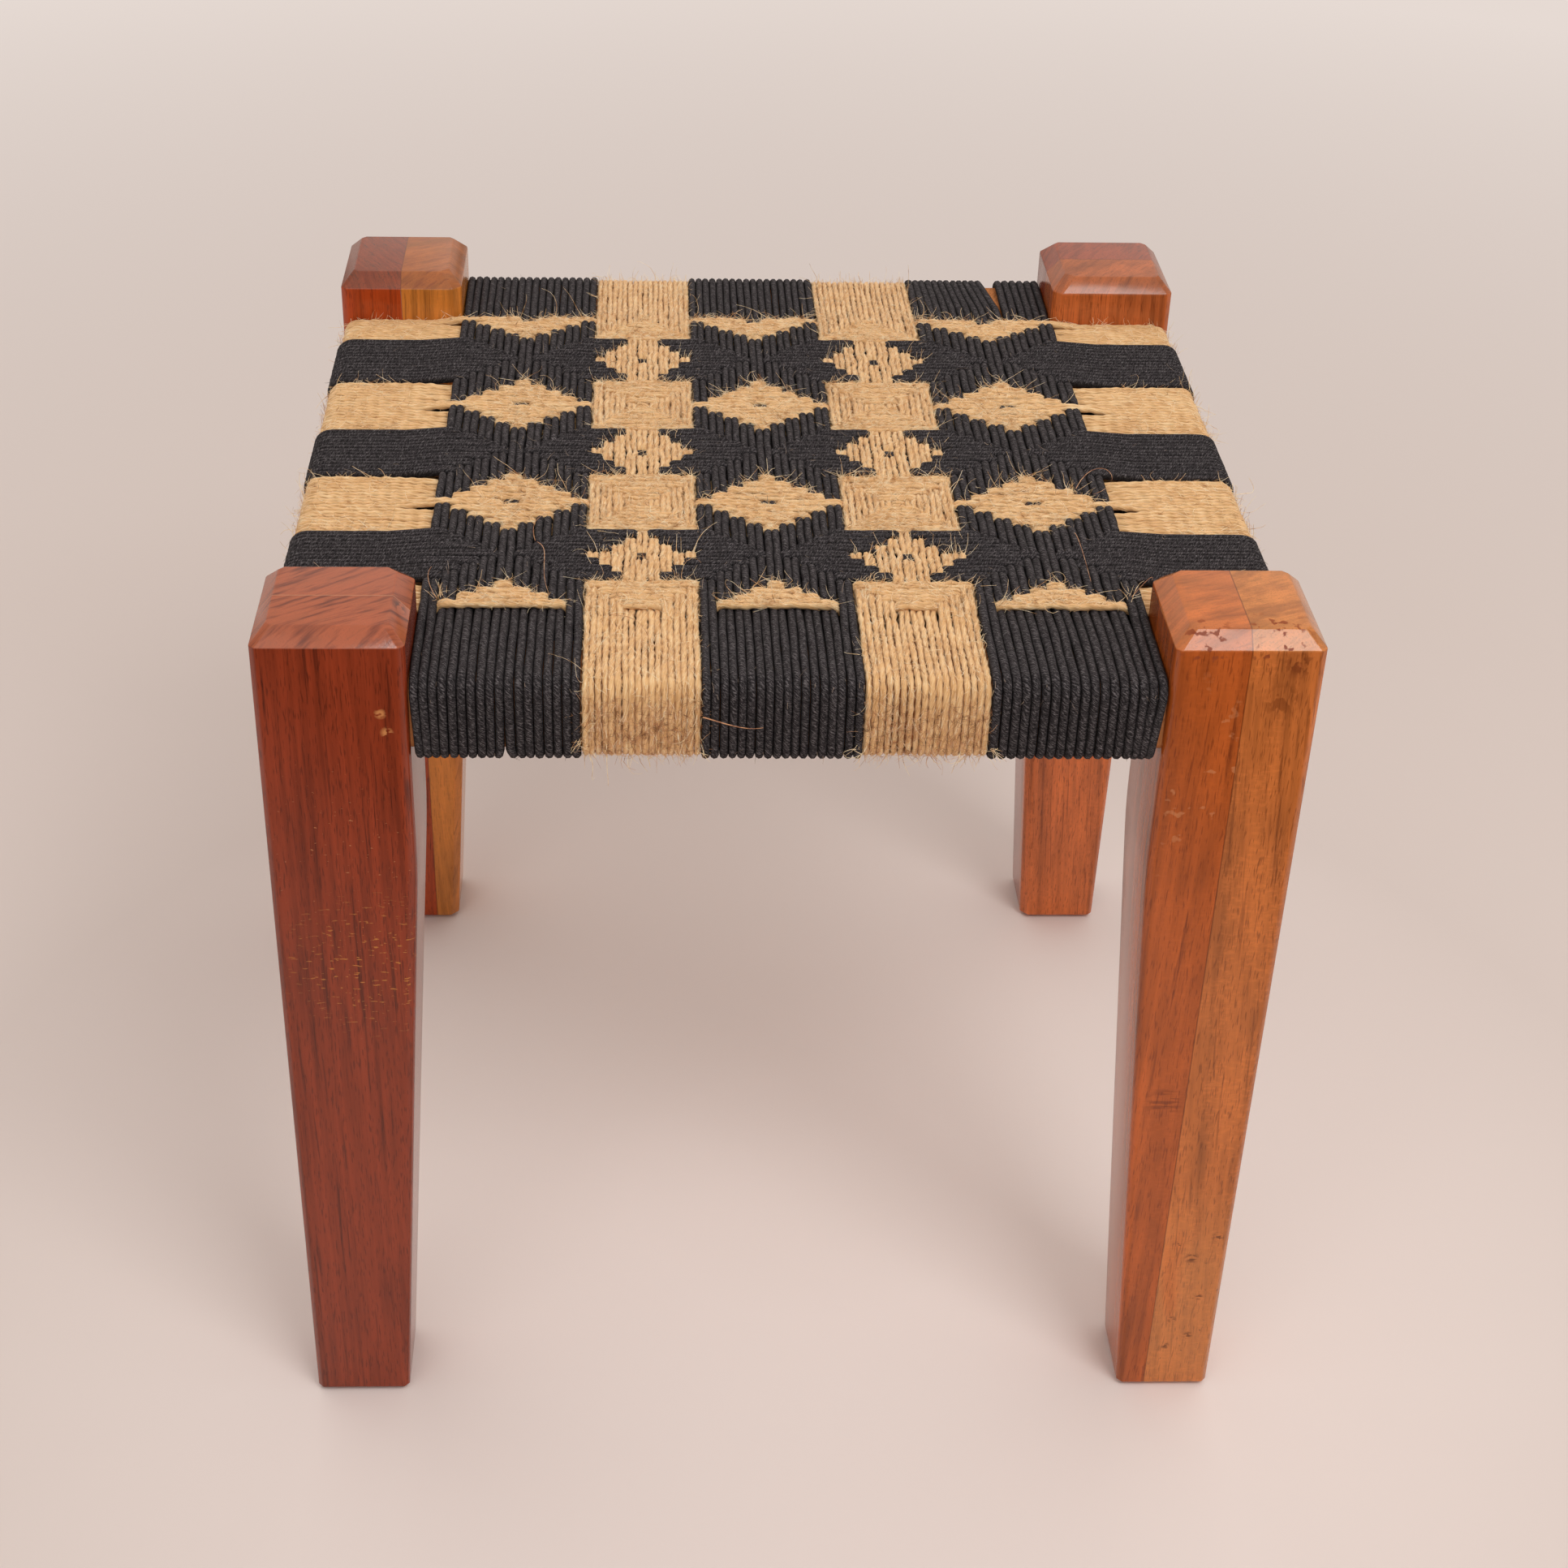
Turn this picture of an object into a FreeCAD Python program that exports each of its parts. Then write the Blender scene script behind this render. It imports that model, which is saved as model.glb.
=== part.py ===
import FreeCAD, Part
import math
import os

# A square stool with a woven seat: four tapered legs, each glued up from two boards, four rails
# tenoned into them, and twelve bands of cotton cord and jute twine woven over the rails.
# Sizes are in millimetres. Z is up, the front is towards -Y, and the origin is on the floor
# under the middle of the seat.

# Overall size
overall_width = 456.0
overall_depth = 456.0
overall_height = 445.0

# Legs: square at the top, with the two inner faces tapering from a gentle knee to the foot
leg_side = 65.5
foot_side = 46.3
knee_height = 322.0
knee_reach = 16.0
top_bevel_width = 7.0
top_bevel_drop = 7.4
foot_bevel = 3.0
outer_arris = 2.5
inner_arris = 4.5
glue_line_share = 0.5

# Rails, set back from the outer faces of the legs by the cords that wrap them
rail_height = 33.0
rail_drop = 27.5
rail_recess = 19.5
rail_arris = 5.0
tenon_thickness = 12.0
tenon_shoulder = 4.0
tenon_gap = 4.5
tenon_lead = 1.5
glue_clearance = 0.1
cut_overrun = 1.0

# Seat cords: the wrap round a rail, and the flat strips of cords that cross in the seat
wrap_thickness = 3.7
strip_thickness = 3.2
strip_gap = 3.0
riser_run = 1.5
soft_clearance = 0.3
entry_start_share = 0.5
entry_end_share = 0.15

# The bands from left to right and from front to rear, as shares of the clear width and depth
lengthwise_band_shares = {
    "lengthwise_cotton_left": 0.2260,
    "lengthwise_jute_left": 0.1579,
    "lengthwise_cotton_middle": 0.2152,
    "lengthwise_jute_right": 0.1674,
    "lengthwise_cotton_right": 0.2335,
}
crosswise_band_shares = {
    "crosswise_jute_front_edge": 0.0751,
    "crosswise_cotton_front": 0.1490,
    "crosswise_jute_front": 0.1821,
    "crosswise_cotton_middle": 0.1560,
    "crosswise_jute_rear": 0.1821,
    "crosswise_cotton_rear": 0.1646,
    "crosswise_jute_rear_edge": 0.0911,
}

# The strips of a band: how many pairs of cords each holds, and its rank in the woven figure,
# which is 0 along the middle of the figure and 1 along its borders
nine_pair_strips = ((3, 1), (3, 0), (3, 1))
seven_pair_strips = ((2, 1), (3, 0), (2, 1))
front_edge_strips = ((2, 0), (2, 1))
rear_edge_strips = ((3, 1), (2, 0))

# Worked out from the sizes above
leg_inner_half_width = overall_width / 2 - leg_side
leg_inner_half_depth = overall_depth / 2 - leg_side
rail_top = overall_height - rail_drop
rail_bottom = rail_top - rail_height
rail_setback = wrap_thickness + soft_clearance
rail_depth = leg_side - rail_setback - rail_recess
tenon_length = leg_side - rail_setback - (rail_depth + tenon_thickness) / 2 - tenon_gap
wrap_radius = rail_arris + soft_clearance
web_level = rail_top + soft_clearance + wrap_thickness / 2
under_level = rail_bottom - soft_clearance - wrap_thickness / 2
strip_lift = (strip_thickness + soft_clearance) / 2


def spot(lengthwise, along, across, up):
    """A point given along a member, across it and upwards. Lengthwise members run front to rear."""
    if lengthwise:
        return FreeCAD.Vector(across, along, up)
    return FreeCAD.Vector(along, across, up)


def block(lengthwise, along, across, up):
    """A box from its range along a member, across it and upwards."""
    low = spot(lengthwise, along[0], across[0], up[0])
    high = spot(lengthwise, along[1], across[1], up[1])
    size = high - low
    return Part.makeBox(size.x, size.y, size.z, low)


def rounded_wire(corners, place):
    """A closed wire through corners (across, up, reach), each rounded from that far away."""
    bends = []
    for index, (across, up, reach) in enumerate(corners):
        here = place(across, up)
        before = place(*corners[index - 1][:2]) - here
        after = place(*corners[(index + 1) % len(corners)][:2]) - here
        before.normalize()
        after.normalize()
        half_angle = before.getAngle(after) / 2
        inward = before + after
        if reach:
            inward.normalize()
        radius = reach * math.tan(half_angle)
        middle = here + inward * (radius / math.sin(half_angle) - radius)
        bends.append((here + before * reach, middle, here + after * reach))
    edges = []
    for index, (start, middle, stop) in enumerate(bends):
        edges.append(Part.LineSegment(bends[index - 1][2], start).toShape())
        if corners[index][2]:
            edges.append(Part.Arc(start, middle, stop).toShape())
    return Part.Wire(edges)


def leg_profile(axis, low, high):
    """The leg's outline seen square to a level axis, pulled out to both sides of it.

    low and high give where the outline lies along the axis, for the side of the square section
    and the bevel that is taken off it all round.
    """
    def place(along, up):
        return axis * along + FreeCAD.Vector(0, 0, up)

    foot_growth = (leg_side - foot_side) * foot_bevel / knee_height
    stations = (
        (0, foot_side, foot_bevel, 0),
        (foot_bevel, foot_side + foot_growth, 0, 0),
        (knee_height, leg_side, 0, knee_reach),
        (overall_height - top_bevel_drop, leg_side, 0, 0),
        (overall_height, leg_side, top_bevel_width, 0),
    )
    inner = [(high(side, bevel), up, reach) for up, side, bevel, reach in stations]
    if abs(low(foot_side, 0) - low(leg_side, 0)) > 0:
        outer = [(low(side, bevel), up, reach) for up, side, bevel, reach in reversed(stations)]
    else:
        outer = [(low(side, bevel), up, 0) for up, side, bevel, reach in reversed(stations)
                 if not reach]
    sideways = axis.cross(FreeCAD.Vector(0, 0, 1)) * (2 * leg_side)
    face = Part.Face(rounded_wire(inner + outer, place))
    face.translate(-sideways)
    return face.extrude(sideways * 2)


def make_leg():
    """One whole leg, with the corner of its two outer faces standing on the Z axis."""
    root = math.sqrt(2)
    to_right = FreeCAD.Vector(1, 0, 0)
    to_rear = FreeCAD.Vector(0, 1, 0)
    across_corner = FreeCAD.Vector(1, 1, 0).normalize()
    along_corner = FreeCAD.Vector(1, -1, 0).normalize()
    profiles = (
        leg_profile(to_right, lambda side, bevel: bevel, lambda side, bevel: side - bevel),
        leg_profile(to_rear, lambda side, bevel: bevel, lambda side, bevel: side - bevel),
        leg_profile(across_corner,
                    lambda side, bevel: (2 * bevel + outer_arris) / root,
                    lambda side, bevel: (2 * (side - bevel) - inner_arris) / root),
        leg_profile(along_corner,
                    lambda side, bevel: (2 * bevel + outer_arris - side) / root,
                    lambda side, bevel: (side - outer_arris - 2 * bevel) / root),
    )
    leg = profiles[0]
    for profile in profiles[1:]:
        leg = leg.common(profile)
    return leg


def rail_places(lengthwise):
    """Half the clear length of a rail, and how far its middle line is from the stool's."""
    along_half = leg_inner_half_depth if lengthwise else leg_inner_half_width
    across_half = (overall_width if lengthwise else overall_depth) / 2
    return along_half, across_half - rail_setback - rail_depth / 2


def tenon_block(lengthwise, side, end, room, overrun):
    """The block of one tenon, or of its mortise when room is left round it."""
    along_half, offset = rail_places(lengthwise)
    along = sorted((end * (along_half - overrun), end * (along_half + tenon_length + room)))
    half_thickness = tenon_thickness / 2 + room
    across = (side * offset - half_thickness, side * offset + half_thickness)
    up = (rail_bottom + tenon_shoulder - room, rail_top - tenon_shoulder + room)
    return block(lengthwise, along, across, up)


def make_rail(lengthwise, side):
    """One rail with rounded arrises and a tenon, eased at its tip, at each end."""
    along_half, offset = rail_places(lengthwise)
    across = (side * offset - rail_depth / 2, side * offset + rail_depth / 2)
    rail = block(lengthwise, (-along_half, along_half), across, (rail_bottom, rail_top))
    direction = spot(lengthwise, 1, 0, 0)
    long_edges = [edge for edge in rail.Edges
                  if math.isclose(abs(edge.tangentAt(edge.FirstParameter).dot(direction)), 1)]
    rail = rail.makeFillet(rail_arris, long_edges)
    for end in (-1, 1):
        tenon = tenon_block(lengthwise, side, end, 0, 0)
        tip = (along_half + tenon_length) * end
        tip_edges = [edge for edge in tenon.Edges
                     if math.isclose(edge.CenterOfMass.dot(direction), tip)]
        rail = rail.fuse(tenon.makeChamfer(tenon_lead, tip_edges))
    return rail.removeSplitter()


def make_mortises():
    """The eight mortises, as one compound to cut from the legs."""
    return Part.makeCompound([
        tenon_block(lengthwise, side, end, glue_clearance, cut_overrun)
        for lengthwise in (False, True) for side in (-1, 1) for end in (-1, 1)])


def make_staves():
    """The two boards of each leg. Each leg is the next one turned by a quarter."""
    leg = make_leg()
    mortises = make_mortises()
    glue_line = leg_side * glue_line_share
    whole = (-cut_overrun, leg_side + cut_overrun)
    tall = (-cut_overrun, overall_height + cut_overrun)
    halves = {
        "outer": block(False, whole, (-cut_overrun, glue_line), tall),
        "inner": block(False, whole, (glue_line, leg_side + cut_overrun), tall),
    }
    corners = (("front_left", -1, -1), ("front_right", 1, -1), ("rear_right", 1, 1),
               ("rear_left", -1, 1))
    staves = {}
    for turn, (corner, to_right, to_rear) in enumerate(corners):
        foot = FreeCAD.Vector(to_right * overall_width / 2, to_rear * overall_depth / 2, 0)
        for half, half_block in halves.items():
            stave = leg.common(half_block)
            stave.rotate(FreeCAD.Vector(0, 0, 0), FreeCAD.Vector(0, 0, 1), turn * 90)
            stave.translate(foot)
            staves["leg_" + corner + "_" + half + "_board"] = stave.cut(mortises)
    return staves


def share_ranges(shares, low, high):
    """Ranges one after another from low to high, in proportion to the shares."""
    ranges = []
    total = sum(shares)
    start = low
    for share in shares:
        stop = start + (high - low) * share / total
        ranges.append((start, stop))
        start = stop
    return ranges


def lay_out_bands(band_shares, clear_half):
    """Each band's range across, and its strips as (name, rank, low, high)."""
    room = clear_half - soft_clearance / 2
    ranges = share_ranges(list(band_shares.values()), -room, room)
    bands = {}
    for name, (low, high) in zip(band_shares, ranges):
        if "front_edge" in name:
            pattern = front_edge_strips
        elif "rear_edge" in name:
            pattern = rear_edge_strips
        elif "crosswise_cotton" in name:
            pattern = seven_pair_strips
        else:
            pattern = nine_pair_strips
        strips = []
        for (pairs, rank), (start, stop) in zip(
                pattern, share_ranges([pairs for pairs, rank in pattern], low, high)):
            strips.append((name, rank, start + strip_gap / 2, stop - strip_gap / 2))
        bands[name] = (low + soft_clearance / 2, high - soft_clearance / 2, strips)
    return bands


def lengthwise_on_top(lengthwise_strip, crosswise_strip):
    """Whether the lengthwise strip is on top where the two cross: the rule of the weave."""
    lengthwise_rank = lengthwise_strip[1]
    crosswise_rank = crosswise_strip[1]
    lengthwise_jute = "jute" in lengthwise_strip[0]
    crosswise_jute = "jute" in crosswise_strip[0]
    if lengthwise_jute and crosswise_jute:
        return lengthwise_rank > crosswise_rank
    if crosswise_jute:
        return lengthwise_rank + crosswise_rank > 1
    if lengthwise_jute:
        return lengthwise_rank + crosswise_rank <= 1
    return lengthwise_rank <= crosswise_rank


def make_wrap(lengthwise, low, high):
    """The full width of a band: round both rails and flat across the under side."""
    half = (overall_depth if lengthwise else overall_width) / 2
    clear_half = leg_inner_half_depth if lengthwise else leg_inner_half_width
    entry_start = clear_half + rail_recess * entry_start_share
    entry_end = clear_half + rail_recess * entry_end_share
    lift = strip_lift if lengthwise else -strip_lift
    outer_radius = wrap_radius + wrap_thickness
    inner_half = half - wrap_thickness
    outer_side = [
        (entry_start, web_level + wrap_thickness / 2, 0),
        (half, web_level + wrap_thickness / 2, outer_radius),
        (half, under_level - wrap_thickness / 2, outer_radius),
        (entry_start, under_level - wrap_thickness / 2, 0),
        (entry_end, under_level + lift - strip_thickness / 2, 0),
    ]
    inner_side = [
        (entry_end, under_level + lift + strip_thickness / 2, 0),
        (entry_start, under_level + wrap_thickness / 2, 0),
        (inner_half, under_level + wrap_thickness / 2, wrap_radius),
        (inner_half, web_level - wrap_thickness / 2, wrap_radius),
        (entry_start, web_level - wrap_thickness / 2, 0),
    ]
    corners = outer_side
    corners = corners + [(-along, up, reach) for along, up, reach in reversed(outer_side)]
    corners = corners + [(-along, up, reach) for along, up, reach in reversed(inner_side)]
    corners = corners + inner_side

    def place(along, up):
        return spot(lengthwise, along, low, up)

    return Part.Face(rounded_wire(corners, place)).extrude(spot(lengthwise, 0, high - low, 0))


def make_strip(lengthwise, strip, crossing_strips):
    """One strip of a band, over or under each strip that it crosses."""
    name, rank, low, high = strip
    clear_half = leg_inner_half_depth if lengthwise else leg_inner_half_width
    entry_start = clear_half + rail_recess * entry_start_share
    entry_end = clear_half + rail_recess * entry_end_share
    half = strip_thickness / 2
    lifts = []
    for crossing in crossing_strips:
        if lengthwise:
            over = lengthwise_on_top(strip, crossing)
        else:
            over = not lengthwise_on_top(crossing, strip)
        lifts.append(strip_lift if over else -strip_lift)
    upper = [(-entry_start, wrap_thickness / 2), (-entry_end, lifts[0] + half)]
    lower = [(-entry_start, -wrap_thickness / 2), (-entry_end, lifts[0] - half)]
    for index in range(len(crossing_strips) - 1):
        here = lifts[index]
        there = lifts[index + 1]
        gap_start = crossing_strips[index][3]
        gap_end = crossing_strips[index + 1][2]
        outer_bend = (gap_start - riser_run, gap_end - soft_clearance)
        inner_bend = (gap_start + soft_clearance, gap_end + riser_run)
        if there < here:
            upper += [(outer_bend[0], here + half), (outer_bend[1], there + half)]
            lower += [(inner_bend[0], here - half), (inner_bend[1], there - half)]
        if there > here:
            upper += [(inner_bend[0], here + half), (inner_bend[1], there + half)]
            lower += [(outer_bend[0], here - half), (outer_bend[1], there - half)]
    upper += [(entry_end, lifts[-1] + half), (entry_start, wrap_thickness / 2)]
    lower += [(entry_end, lifts[-1] - half), (entry_start, -wrap_thickness / 2)]
    outline = upper + lower[::-1]
    points = [spot(lengthwise, along, low, web_level + up) for along, up in outline]
    face = Part.Face(Part.makePolygon(points + points[:1]))
    return face.extrude(spot(lengthwise, 0, high - low, 0))


def make_band(lengthwise, band, crossing_strips):
    """One band of cords: its wrap and its woven strips, as one solid."""
    low, high, strips = band
    solid = make_wrap(lengthwise, low, high)
    solid = solid.fuse([make_strip(lengthwise, strip, crossing_strips) for strip in strips])
    return solid.removeSplitter()


def make_seat():
    """All the bands of the seat, by name."""
    lengthwise_bands = lay_out_bands(lengthwise_band_shares, leg_inner_half_width)
    crosswise_bands = lay_out_bands(crosswise_band_shares, leg_inner_half_depth)
    lengthwise_strips = [strip for band in lengthwise_bands.values() for strip in band[2]]
    crosswise_strips = [strip for band in crosswise_bands.values() for strip in band[2]]
    seat = {}
    for name, band in lengthwise_bands.items():
        seat["seat_" + name] = make_band(True, band, crosswise_strips)
    for name, band in crosswise_bands.items():
        seat["seat_" + name] = make_band(False, band, lengthwise_strips)
    return seat


def main():
    nodes = make_staves()
    nodes["rail_front"] = make_rail(False, -1)
    nodes["rail_rear"] = make_rail(False, 1)
    nodes["rail_left"] = make_rail(True, -1)
    nodes["rail_right"] = make_rail(True, 1)
    nodes.update(make_seat())
    os.makedirs("parts", exist_ok=True)
    for name, shape in nodes.items():
        print(name, len(shape.Solids), shape.isValid(), round(shape.Volume))
        shape.exportStep("parts/" + name + ".step")


main()
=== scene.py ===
import math
import random

import bmesh
import bpy
import numpy as np
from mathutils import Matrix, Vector


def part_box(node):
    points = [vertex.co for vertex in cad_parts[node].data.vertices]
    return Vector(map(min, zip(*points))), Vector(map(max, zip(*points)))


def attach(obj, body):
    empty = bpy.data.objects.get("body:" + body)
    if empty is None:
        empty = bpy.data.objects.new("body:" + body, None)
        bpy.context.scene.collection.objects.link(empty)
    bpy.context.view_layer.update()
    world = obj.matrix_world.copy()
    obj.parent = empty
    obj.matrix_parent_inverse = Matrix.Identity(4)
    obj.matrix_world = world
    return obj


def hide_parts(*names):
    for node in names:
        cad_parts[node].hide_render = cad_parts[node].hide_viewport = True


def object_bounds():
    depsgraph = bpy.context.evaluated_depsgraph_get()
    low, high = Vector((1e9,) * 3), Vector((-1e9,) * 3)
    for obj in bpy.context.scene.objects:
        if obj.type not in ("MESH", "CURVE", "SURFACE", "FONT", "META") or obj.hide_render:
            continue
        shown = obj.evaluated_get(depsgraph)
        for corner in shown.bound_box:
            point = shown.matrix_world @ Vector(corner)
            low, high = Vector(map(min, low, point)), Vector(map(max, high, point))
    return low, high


# A square stool: four varnished hardwood legs, each glued up from two boards, and a seat woven
# from black cotton cord and natural jute twine over four hidden rails. Metres, Z up, front to -Y.

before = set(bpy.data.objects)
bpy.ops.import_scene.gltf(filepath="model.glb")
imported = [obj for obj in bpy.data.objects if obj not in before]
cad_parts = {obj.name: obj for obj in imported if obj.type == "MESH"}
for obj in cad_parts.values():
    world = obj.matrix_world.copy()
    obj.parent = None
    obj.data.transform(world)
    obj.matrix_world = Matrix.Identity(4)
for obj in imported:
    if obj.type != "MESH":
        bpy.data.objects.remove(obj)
cad_low, cad_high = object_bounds()
mm = 0.001

# The rails, read from the frame. All four have the same section
RAIL_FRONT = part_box("rail_front")
RAIL_TOP = RAIL_FRONT[1].z
RAIL_BOTTOM = RAIL_FRONT[0].z
RAIL_OUTER_FACE = -RAIL_FRONT[0].y
RAIL_INNER_FACE = -RAIL_FRONT[1].y
RAIL_MIDDLE = (RAIL_OUTER_FACE + RAIL_INNER_FACE) / 2
UPPER_ARRIS = 5 * mm
LOWER_ARRIS = 3 * mm

# The legs, with their arrises eased by a plane
LEG_TOP_WIDTH = 65.5 * mm
LEG_INNER_FACE = cad_high.x - LEG_TOP_WIDTH
BEVEL_LEVEL = cad_high.z - 7.4 * mm
ROUNDED_ARRIS = 3 * mm
UPRIGHT_EASING = 0.4
TOP_EASING = 0.18
ROUNDED_BOARD = "leg_front_left_outer_board"
ROUNDED_FROM = -180 * mm
SHARP_ANGLE = math.radians(30)
FLAT_ANGLE = math.radians(0.5)
ARRIS_SEGMENTS = 4

# Cords. Jute is two plies, which swell it on two sides and lie once round in each lay
COTTON_RADIUS = 2.15 * mm
JUTE_RADIUS = 1.4 * mm
JUTE_PLUMPNESS = 1.05
PLY_SWELL = 0.13
JUTE_LAY = 12 * mm
STEPS_IN_LAY = 8
CORD_SIDES = 8
CUT_END = 0.05
COTTON_PRESS = 1.03

# How the cords lie
WEB_LEVEL = RAIL_TOP + 2 * mm
WEB_FADE = 12 * mm
UNDER_LEVEL = RAIL_BOTTOM - 2 * mm
UNDER_LIFT = 1.9 * mm
CROSSING_SQUEEZE = 0.93
HOLE_DIP = 1.5 * mm
LEAST_PAIR_PULL = 0.15 * mm
RISE_SHARES = (0.25, 0.5, 0.75)
STRETCH_STEP = 8 * mm
UNDER_STEP = 22 * mm
ARC_STEPS = 5

# How unevenly they lie: the size of the stray in jute and in cotton, and the lengths of its waves
WANDER = (0.3 * mm, 0.25 * mm, (31 * mm, 67 * mm, 143 * mm))
STRAY = (0.42 * mm, 0.25 * mm, (9 * mm, 17 * mm, 29 * mm))
SWELL = (0.22, 0.06, (7 * mm, 19 * mm, 57 * mm))
HEAVE = (0.38 * mm, 0.22 * mm, (13 * mm, 21 * mm, 37 * mm))

# Where the weaver's hand shows: the end cords of the front wrap, the notch low in it at the left,
# and the slanted gap at the right of the rear wrap
HANG_LEVEL = RAIL_TOP - 4 * mm
END_CORDS_WIDTH = 14 * mm
END_PULL_LEFT = 1.6 * mm
END_PULL_RIGHT = 3.4 * mm
NOTCH_PLACE = -121.3 * mm
NOTCH_HALF_WIDTH = 1.7 * mm
NOTCH_LEVEL = RAIL_BOTTOM + 5 * mm
NOTCH_REACH = 7 * mm
GAP_BAND = (86 * mm, 137 * mm)
GAP_LEAN = 7.5 * mm
GAP_START = 172 * mm
GAP_RUN = 48 * mm
GAP_FOOT = 10 * mm

# The jute cords beside a band's middle draw in at the holes of the figure, by a pull over a reach
NECK_PULL_LENGTHWISE = (1.1 * mm, 5 * mm)
NECK_PULL_CROSSWISE = (1.7 * mm, 8 * mm)
NECK_CORDS = (3.5 * mm, 14 * mm)
NECK_EDGE = 4 * mm
NECK_FADE = 5 * mm

# Loose fibres stand thickest in the figure and at the borders of a band. The pairs are for the
# lengthwise and the crosswise bands
FIGURE_ENDS = (192 * mm, 152 * mm)
CALM_SHARES = (0.7, 0.3)
FIGURE_FADE = 20 * mm
MIDDLE_SHARE = 0.4
ROOT_SHARE = 0.8
SIDEWAYS_LEAN = 0.8
SIDEWAYS_TURN = 0.5
LENGTH_SPREAD = 0.45
SHORTEST_SHARE = 0.3
WIDTH_SHARES = (0.6, 1.3)
KINK = 0.12
WAVER = 0.08
HAIR_TIP = 0.45

# The kinds of loose jute fibre, and the lint on the cotton: how many to a turn of cord, how long
# from the usual to the longest, how sharply they bend, and how flat they lie. All fibres are drawn
# about three times as thick as they are, so that they show from a step away
FUZZ = dict(per_turn=150, lengths=(2.8 * mm, 7 * mm), bend=160, width=0.11 * mm, steps=2)
STRAYS = dict(per_turn=125, lengths=(5.5 * mm, 13 * mm), bend=170, width=0.13 * mm, steps=4)
CURLS = dict(per_turn=13, lengths=(11 * mm, 22 * mm), bend=120, width=0.14 * mm, steps=8,
             lie=(0.25, 1.0))
LYING = dict(per_turn=75, lengths=(6 * mm, 13 * mm), bend=30, width=0.12 * mm, steps=2,
             lie=(0.03, 0.35))
LINT = dict(per_turn=9, lengths=(3 * mm, 9 * mm), bend=170, width=0.11 * mm, steps=4, lie=(0.1, 0.5))

# Fibres rubbed flat, low on the wraps: their brown, thicker lower down, is also painted shade
MAT_PER_TURN = 45
MAT_LEVEL = RAIL_TOP - 2 * mm
MAT_FADE = 16 * mm
MAT_SCATTER = 2 * mm
MAT_LENGTHS = (4 * mm, 11 * mm)
MAT_BEND = 110
MAT_RISE = 0.08
MAT_LIFT_SHARE = 1.1
MAT_WIDTH = 0.1 * mm
MAT_STEPS = 3

# The longest fibres and the tufts, where the photograph shows them, in mm. A tuft has the way that
# it points and its number of fibres
LONG_FIBRE_RADIUS = 0.19 * mm
LONG_FIBRE_STEPS = 14
LONG_FIBRES = (
    ((-111.5, -109.4, 426), (-107.6, -125.2, 429), (-107.2, -142.2, 429), (-104.3, -159.5, 426)),
    ((-112.5, -108, 426), (-113, -99, 430), (-108, -93, 432)),
    ((138.6, -98.2, 426), (138.9, -115.1, 428), (139.4, -145.5, 426)),
    ((146, -50, 425), (158, -40, 431), (163, -50, 431), (153, -60, 427)),
    ((-77, -176, 425), (-66, -186, 428), (-60, -199, 426)),
    ((-154, -162, 425), (-158, -155, 431), (-157, -147, 433)),
    ((156, -158, 425), (164, -152, 431), (167, -146, 427)),
)
FRONT_FIBRE_RADIUS = 0.36 * mm
FRONT_FIBRE = ((-37.1, -230.5, 405.9), (-28.8, -232.5, 404.3), (-20, -232.5, 401.9),
               (-11.3, -230.5, 400.7))
TUFTS = (
    ((142, -53.5, 426), (0.0, 0.0, 0.8), 14),
    ((148, -66, 426), (0.3, -0.3, 0.8), 9),
    ((-153, -162, 426), (-0.2, 0.5, 0.9), 14),
    ((155, -158, 426), (0.3, 0.4, 0.9), 10),
    ((-89.5, -230, 392.7), (-0.5, -0.8, -0.3), 10),
    ((-39, -230, 388.7), (0.5, -0.8, -0.4), 8),
    ((30.9, -230, 388.9), (-0.5, -0.8, -0.4), 7),
    ((87.7, -230, 389), (0.5, -0.8, -0.4), 9),
)
TUFT_SPREAD = 1.3 * mm
TUFT_FAN = 0.6
TUFT_LENGTHS = (3 * mm, 8 * mm)
TUFT_WIDTH_SHARES = (0.5, 0.9)
TUFT_BEND = 130
TUFT_STEPS = 6

# Colours of the fibres, as (place on the ramp, colour)
JUTE_TWINE = ((0.30, "#a8723b"), (0.42, "#dba76b"), (0.52, "#f4c68b"), (0.66, "#ffe4b4"))
COTTON_CORD = ((0.34, "#110e10"), (0.50, "#2f2b2c"), (0.68, "#7b7475"))
# The loose fibres' straw is paler than the twine: partly their own colour, partly painted highlight for
# their shine and the light through them
STRAW_AND_SHINE = ((0.32, "#a36c38"), (0.40, "#deb078"), (0.52, "#f8ddb0"), (0.68, "#fff0d0"))
# COPPER_AND_SHADE is the brown of the long fibres, and on the rubbed fibres low on the wraps it is also
# painted shade
COPPER_AND_SHADE = ((0.35, "#8a5430"), (0.50, "#c58a5c"), (0.65, "#e2b488"))
PALE_LINT = ((0.40, "#5a4a42"), (0.60, "#b39c86"))
# The scales of the noise that makes them paler and browner in patches
TWINE_PATCH_SCALE = 110.0
FIBRE_PATCH_SCALE = 260.0
LINT_PATCH_SCALE = 120.0

# The wood's patterns: their size across the growth rings, along the rings and lengthways. Pores
# are drawn about three times as wide as they are, so that they show from a step away
COLOUR_BANDS = (7 * mm, 60 * mm, 420 * mm)
STREAKS = (1.6 * mm, 7 * mm, 120 * mm)
PATCHES = (16 * mm, 24 * mm, 60 * mm)
CROSS_FIGURE = (4.5 * mm, 4.5 * mm, 1.7 * mm)
VEINS = (1.1 * mm, 9 * mm, 75 * mm)
PORES = (0.7 * mm, 0.7 * mm, 7 * mm)
PLANE_MARKS = (0.5 * mm, 0.5 * mm, 9 * mm)
END_RINGS = (26 * mm, 40 * mm)
GLUE_LINE = (0.4 * mm, 0.15 * mm)
BEVEL_BLEND = 0.3 * mm
BLOTCH_EDGE = 0.05
MARK_CORE_SHARE = 0.4
BOARD_STEP = Vector((0.31, 0.17, 0.53))
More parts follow.
